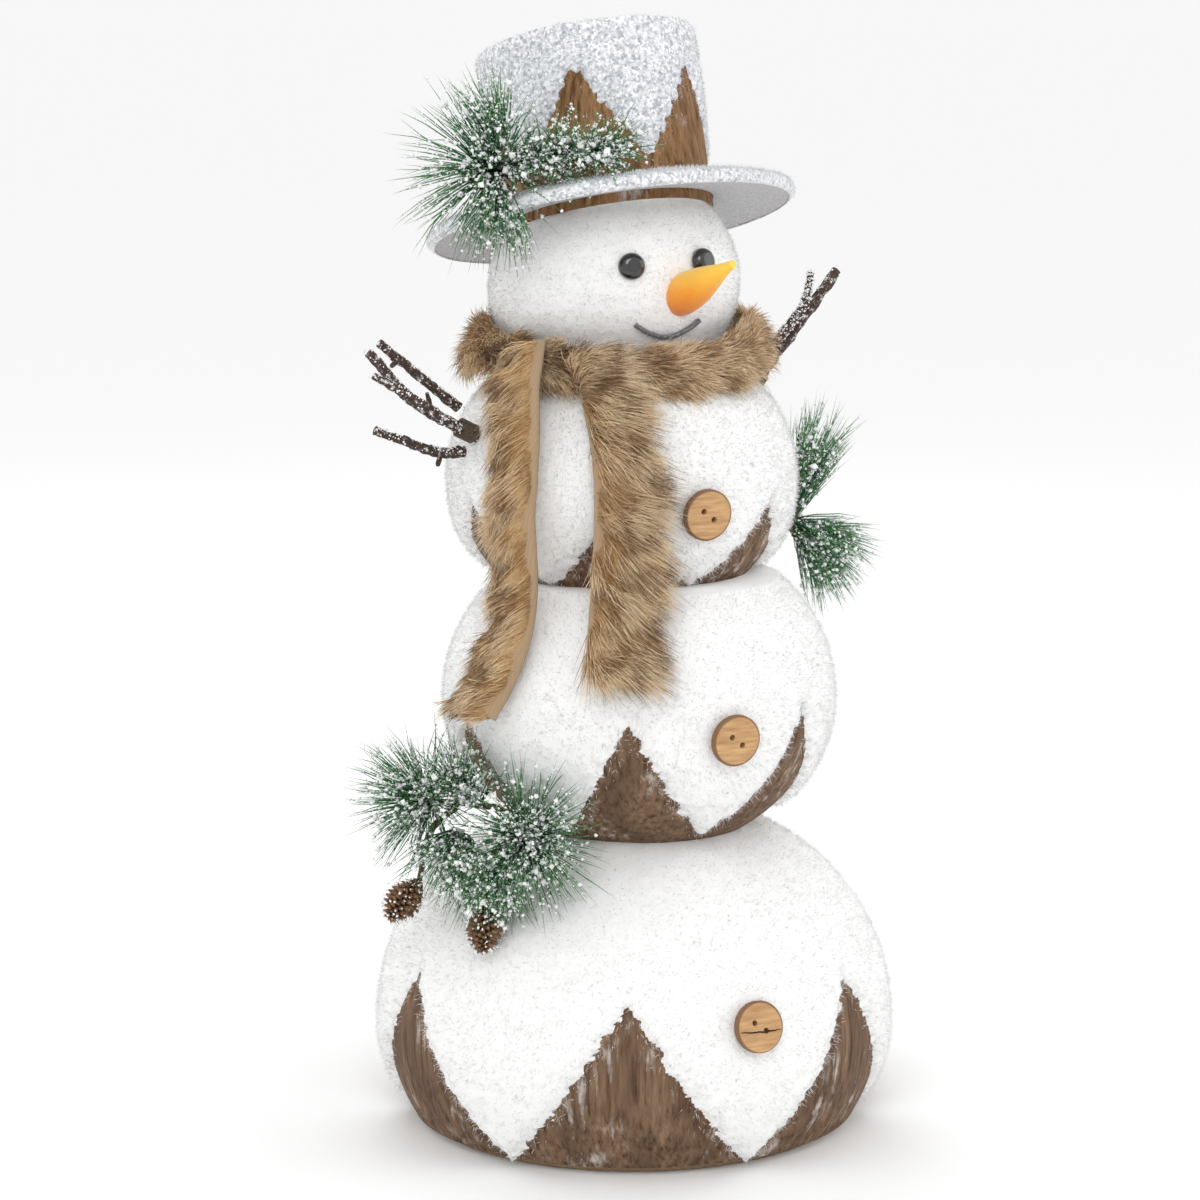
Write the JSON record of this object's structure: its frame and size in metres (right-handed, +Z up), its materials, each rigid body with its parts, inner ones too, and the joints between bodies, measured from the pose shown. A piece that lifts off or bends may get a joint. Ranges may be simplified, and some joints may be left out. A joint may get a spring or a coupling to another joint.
{
  "type": "wooden snowman figure",
  "caption": "Wooden snowman figure with flocked snow over weathered veneer balls, top hat, fur scarf, twig arms, wood buttons and snowy pine sprigs.",
  "frame": {"origin": "centre of the underside of the base", "axes": "+Z up, the figure faces -Y, +X is the figure's left"},
  "size_m": [0.263, 0.2397, 0.4977],
  "materials": {
    "board": "plain pressed board",
    "dowel_wood": "plain turned dowel",
    "foam": "white expanded foam",
    "weathered_wood": "weathered brown veneer with rubbed white streaks",
    "snow_flock": "thick white flock",
    "hat_bark": "orange-brown bark-grained veneer",
    "glitter_flock": "silver-white flock with glitter",
    "hat_felt": "light grey felt",
    "black_bead": "polished black",
    "carrot": "satin orange to yellow",
    "mouth_glitter": "dark grey glitter cord",
    "button_wood": "sanded natural wood, dark edge",
    "scarf_fur": "tan faux fur with dark tips",
    "twig_bark": "dark bark dusted with snow",
    "florist_tape": "brown waxed tape",
    "sprig_wire": "brown wrapped wire",
    "pine_needles": "green needles tipped with snow",
    "pine_cone": "brown scales dusted with snow"
  },
  "bodies": {
    "figure": {"base_board": "board", "centre_dowel": "dowel_wood", "bottom_ball_core": "foam", "middle_ball_core": "foam", "chest_ball_core": "foam", "head_core": "foam", "hat_crown_core": "foam", "bottom_ball_veneer": "weathered_wood", "middle_ball_veneer": "weathered_wood", "chest_ball_veneer": "weathered_wood", "bottom_ball_snow": "snow_flock", "middle_ball_snow": "snow_flock", "chest_ball_snow": "snow_flock", "head_snow": "snow_flock", "hat_crown_veneer": "hat_bark", "hat_crown_snow": "glitter_flock", "hat_brim": "hat_felt", "hat_brim_snow": "glitter_flock", "right_eye": "black_bead", "left_eye": "black_bead", "carrot_nose": "carrot", "mouth_cord": "mouth_glitter", "top_button": "button_wood", "middle_button": "button_wood", "bottom_button": "button_wood", "scarf_neck_loop": "scarf_fur", "scarf_right_tail": "scarf_fur", "scarf_left_tail": "scarf_fur", "hat_sprig_stems": "sprig_wire", "chest_sprig_stems": "sprig_wire", "middle_sprig_stems": "sprig_wire", "hat_sprig_needles": "pine_needles", "chest_sprig_needles": "pine_needles", "middle_sprig_needles": "pine_needles", "pine_cones": "pine_cone"},
    "right_arm": {"right_arm_main_twig": "twig_bark", "right_arm_upper_twig": "twig_bark", "right_arm_middle_twig": "twig_bark", "right_arm_lower_twig": "twig_bark", "right_arm_tape": "florist_tape"},
    "left_arm": {"left_arm_main_twig": "twig_bark", "left_arm_side_twig": "twig_bark", "left_arm_tape": "florist_tape"}
  },
  "joints": [
    {"name": "right_arm_turn", "type": "hinge", "parent": "figure", "child": "right_arm", "pos_m": [-0.066, 0.008, 0.311], "axis": [-0.8944, 0, 0.4472], "range_deg": [-20, 20]},
    {"name": "left_arm_turn", "type": "hinge", "parent": "figure", "child": "left_arm", "pos_m": [0.0585, 0.008, 0.324], "axis": [0.6606, 0, 0.7507], "range_deg": [-20, 20]}
  ]
}
